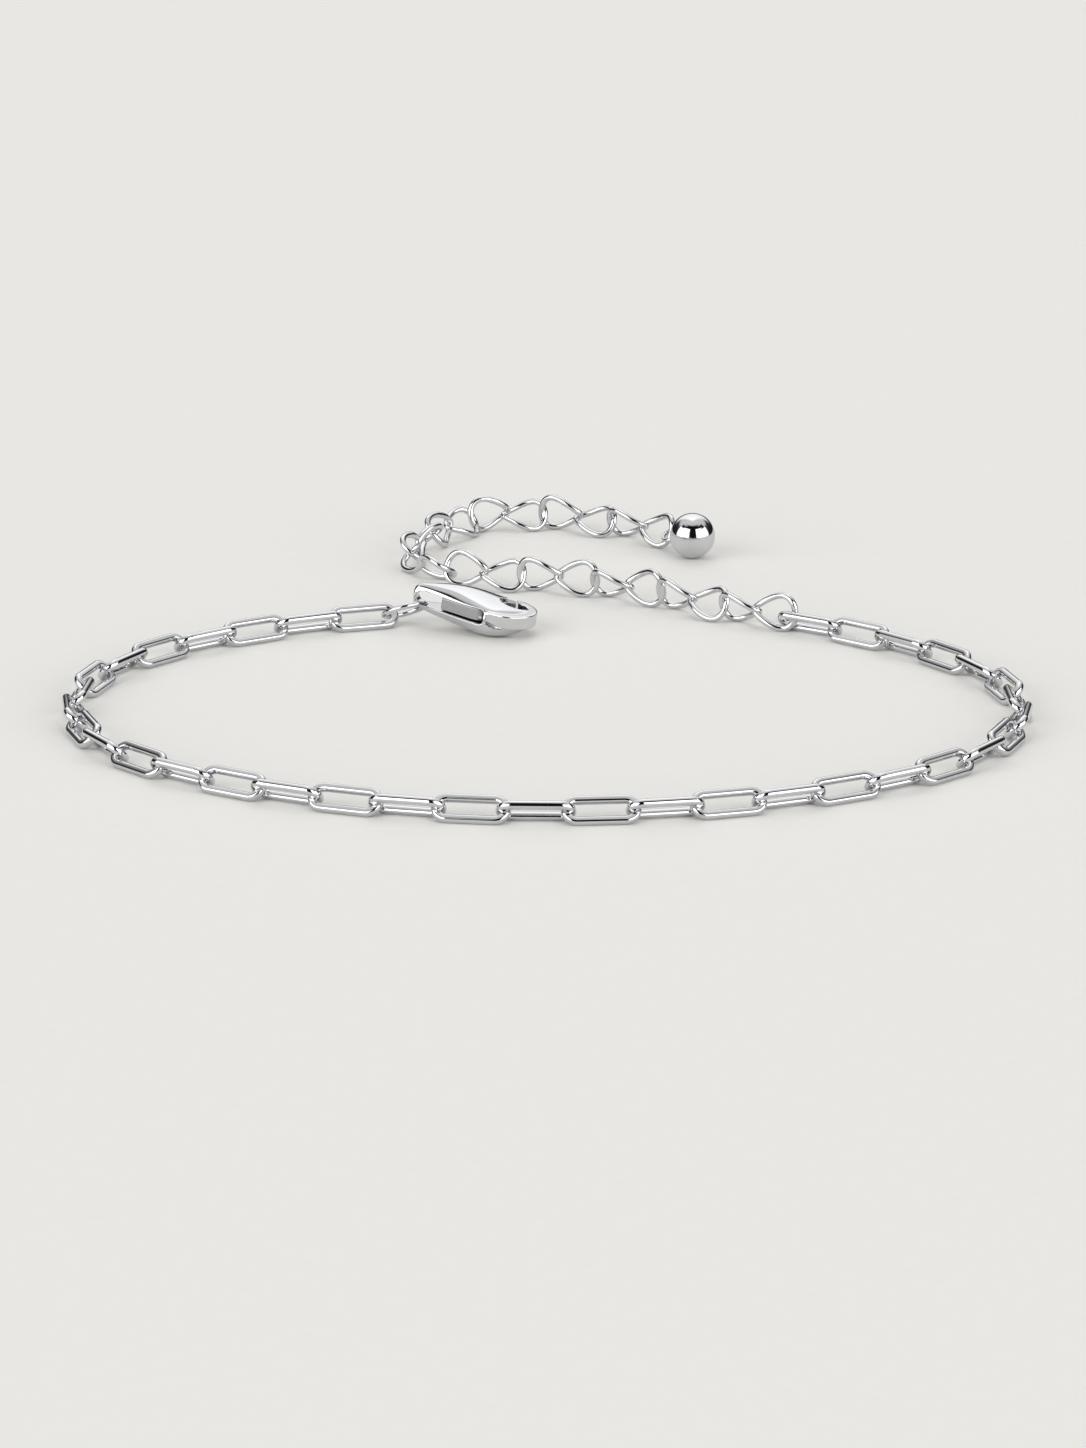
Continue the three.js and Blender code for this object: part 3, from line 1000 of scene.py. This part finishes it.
def studio_walls(studio):
    """The light round the table: a softbox on either side of the camera, dark gaps, a wall and a ceiling."""
    world = bpy.data.worlds.new("studio_walls")
    world.use_nodes = True
    world.node_tree.nodes.clear()
    tree = Socket(world.node_tree)
    way = tree.node("ShaderNodeTexCoord", output="Generated")
    x, y, z = (tree.node("ShaderNodeSeparateXYZ", inputs={"Vector": way}, output=axis) for axis in "XYZ")
    # Aside is 0 at the back, 0.5 towards the camera and 1 at the back again. Above is 0 at the table and
    # 1 overhead
    aside = tree.math("ARCTAN2", x, -1.0 * y) * (0.5 / math.pi) + 0.5
    above = tree.node("ShaderNodeMath", {"operation": "ARCSINE"}, {0: z}) * (2 / math.pi)

    colour = None
    for start, end, heights in STUDIO_LIGHT:
        strip = tree.greys(above, [(height / 90, shade) for height, shade in heights])
        if colour:
            share = tree.greys(aside, ((start / 360 + 0.5, 0.0), (end / 360 + 0.5, 1.0)))
            strip = tree.blend(share, colour, strip)
        colour = strip
    light = tree.node("ShaderNodeBackground", inputs={"Color": colour, "Strength": studio.light})
    wall = (studio.wall, studio.wall, studio.wall, 1.0)
    seen = tree.node("ShaderNodeBackground", inputs={"Color": wall, "Strength": 1.0})
    camera_ray = tree.node("ShaderNodeLightPath", output="Is Camera Ray")
    mixed = tree.node("ShaderNodeMixShader", inputs={0: camera_ray, 1: light, 2: seen})
    tree.node("ShaderNodeOutputWorld", inputs={"Surface": mixed})
    return world


class BRACELET_OT_stage(bpy.types.Operator):
    """Sets up the table, the light round it and the camera"""

    bl_idname = "bracelet.stage"
    bl_label = "Table, light and camera"

    def execute(self, context):
        studio = context.scene.studio
        deselect()
        bpy.ops.mesh.primitive_circle_add(vertices=TABLE_SIDES, radius=TABLE_RADIUS, fill_type="NGON")
        table = bpy.context.object
        table.name = "table"
        table.data.materials.append(table_material(studio.table))

        context.scene.world = studio_walls(studio)

        camera = bpy.data.objects.new("camera", bpy.data.cameras.new("camera"))
        camera.data.lens = studio.lens
        camera.data.clip_start, camera.data.clip_end = CAMERA_REACH
        back = Vector((0.0, -math.cos(studio.elevation), math.sin(studio.elevation)))
        camera.location = Vector(studio.aim) + back * studio.distance
        camera.rotation_euler = back.to_track_quat("Z", "Y").to_euler()
        context.scene.collection.objects.link(camera)
        context.scene.camera = camera
        context.scene.view_settings.view_transform = "Standard"
        return {"FINISHED"}


OPERATORS = (
    BRACELET_OT_paperclip_links,
    BRACELET_OT_jump_rings,
    BRACELET_OT_clasp_body,
    BRACELET_OT_clasp_lever,
    BRACELET_OT_extender,
    BRACELET_OT_end_ball,
    BRACELET_OT_stage,
)


class BRACELET_PT_panel(bpy.types.Panel):
    """Lists the bracelet's pieces"""

    bl_idname = "BRACELET_PT_panel"
    bl_label = "Paperclip bracelet"
    bl_space_type = "VIEW_3D"
    bl_region_type = "UI"
    bl_category = "Bracelet"

    def draw(self, context):
        for operator in OPERATORS:
            self.layout.operator(operator.bl_idname)


GROUPS = {
    "paperclip_sizes": PaperclipSizes,
    "extender_sizes": ExtenderSizes,
    "clasp_sizes": ClaspSizes,
    "silver_finish": SilverFinish,
    "studio": StudioSettings,
}
CLASSES = (*GROUPS.values(), *OPERATORS, BRACELET_PT_panel)


def register():
    for item in CLASSES:
        bpy.utils.register_class(item)
    for name, group in GROUPS.items():
        setattr(bpy.types.Scene, name, PointerProperty(type=group))


def unregister():
    for name in GROUPS:
        delattr(bpy.types.Scene, name)
    for item in reversed(CLASSES):
        bpy.utils.unregister_class(item)


def main():
    register()
    bpy.ops.bracelet.paperclip_links()
    bpy.ops.bracelet.jump_rings()
    bpy.ops.bracelet.clasp_body()
    bpy.ops.bracelet.clasp_lever()
    bpy.ops.bracelet.extender()
    bpy.ops.bracelet.end_ball()
    bpy.ops.bracelet.stage()


if __name__ == "__main__":
    main()
